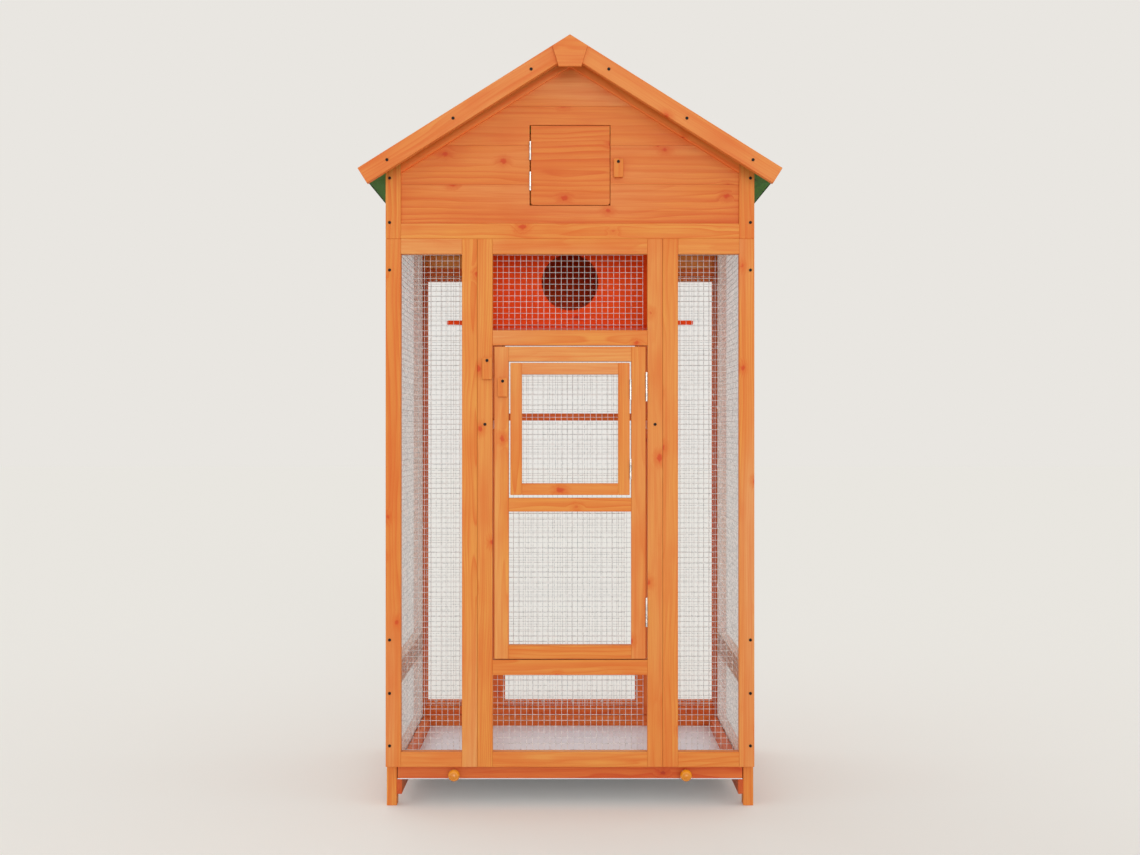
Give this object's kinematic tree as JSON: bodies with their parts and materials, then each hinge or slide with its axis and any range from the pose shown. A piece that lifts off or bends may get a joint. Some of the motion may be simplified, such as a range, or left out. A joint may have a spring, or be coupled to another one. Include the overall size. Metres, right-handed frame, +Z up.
{
  "type": "wooden bird cage",
  "caption": "Free-standing timber and wire-mesh aviary with a gabled roof, a door within a door, a roof hatch to a nest box, perches and a pull-out tray.",
  "frame": {"origin": "middle of the footprint, on the ground", "axes": "+Z up, -Y towards the door side, +X to the right as seen from the door side"},
  "size_m": [0.908, 0.797, 1.6646],
  "materials": {
    "stained_pine": "orange stained pine, satin",
    "green_roof_board": "green stain, matt",
    "green_roof_felt": "green mineral bitumen felt",
    "galvanised_wire": "galvanised",
    "zinc_hinge": "zinc plated",
    "black_screw": "black",
    "white_tray": "smooth sheet",
    "varnished_knob": "gloss varnish"
  },
  "bodies": {
    "root": {"front_left_frame": "stained_pine", "front_centre_frame": "stained_pine", "front_right_frame": "stained_pine", "rear_left_frame": "stained_pine", "rear_centre_frame": "stained_pine", "rear_right_frame": "stained_pine", "left_side_frame": "stained_pine", "right_side_frame": "stained_pine", "front_left_mesh": "galvanised_wire", "front_right_mesh": "galvanised_wire", "front_top_mesh": "galvanised_wire", "front_foot_mesh": "galvanised_wire", "rear_left_mesh": "galvanised_wire", "rear_centre_mesh": "galvanised_wire", "rear_right_mesh": "galvanised_wire", "left_side_mesh": "galvanised_wire", "right_side_mesh": "galvanised_wire", "front_gable_frame": "stained_pine", "rear_gable_frame": "stained_pine", "front_gable_boards": "stained_pine", "rear_gable_boards": "stained_pine", "left_roof_board": "green_roof_board", "right_roof_board": "green_roof_board", "roof_felt": "green_roof_felt", "ridge_beam": "stained_pine", "front_barge_boards": "stained_pine", "rear_barge_boards": "stained_pine", "apex_plates": "stained_pine", "nest_box_front": "stained_pine", "nest_box_sides": "stained_pine", "nest_box_back": "stained_pine", "nest_box_floor": "stained_pine", "nest_box_bearers": "stained_pine", "landing_perch": "stained_pine", "perch_supports": "stained_pine", "cross_perch": "stained_pine", "frame_cleats": "stained_pine", "drawer_runners": "stained_pine", "frame_screws": "black_screw", "barge_screws": "black_screw", "button_screws": "black_screw", "door_hinge_frame_leaves": "zinc_hinge", "hatch_hinge_frame_leaves": "zinc_hinge"},
    "door": {"door_frame": "stained_pine", "door_mesh": "galvanised_wire", "door_hinge_leaves": "zinc_hinge", "small_hinge_frame_leaves": "zinc_hinge", "small_button_screw": "black_screw"},
    "small_door": {"small_door_frame": "stained_pine", "small_door_mesh": "galvanised_wire", "small_hinge_leaves": "zinc_hinge"},
    "hatch": {"gable_hatch": "stained_pine", "hatch_hinge_leaves": "zinc_hinge"},
    "door_button": {"door_button": "stained_pine"},
    "small_door_button": {"small_door_button": "stained_pine"},
    "hatch_button": {"hatch_button": "stained_pine"},
    "drawer": {"drawer_front": "stained_pine", "drawer_walls": "stained_pine", "tray_sheet": "white_tray", "drawer_knobs": "varnished_knob"}
  },
  "joints": [
    {"name": "door_swing", "type": "hinge", "parent": "root", "child": "door", "pos_m": [0.166, -0.338, 0.6617], "axis": [0, 0, 1], "range_deg": [0, 90]},
    {"name": "small_door_swing", "type": "hinge", "parent": "door", "child": "small_door", "pos_m": [0.13125, -0.338, 0.82195], "axis": [0, 0, 1], "range_deg": [0, 90]},
    {"name": "hatch_swing", "type": "hinge", "parent": "root", "child": "hatch", "pos_m": [-0.0864, -0.332, 1.3945], "axis": [0, 0, -1], "range_deg": [0, 110]},
    {"name": "door_button_turn", "type": "hinge", "parent": "root", "child": "door_button", "pos_m": [-0.1795, -0.34, 0.97], "axis": [0, -1, 0], "range_deg": [0, 90]},
    {"name": "small_door_button_turn", "type": "hinge", "parent": "door", "child": "small_door_button", "pos_m": [-0.1458, -0.34, 0.9254], "axis": [0, -1, 0], "range_deg": [0, 90]},
    {"name": "hatch_button_turn", "type": "hinge", "parent": "root", "child": "hatch_button", "pos_m": [0.105, -0.334, 1.4015], "axis": [0, 1, 0], "range_deg": [0, 90]},
    {"name": "drawer_slide", "type": "slide", "parent": "root", "child": "drawer", "axis": [0, -1, 0], "range_m": [0, 0.55]}
  ]
}
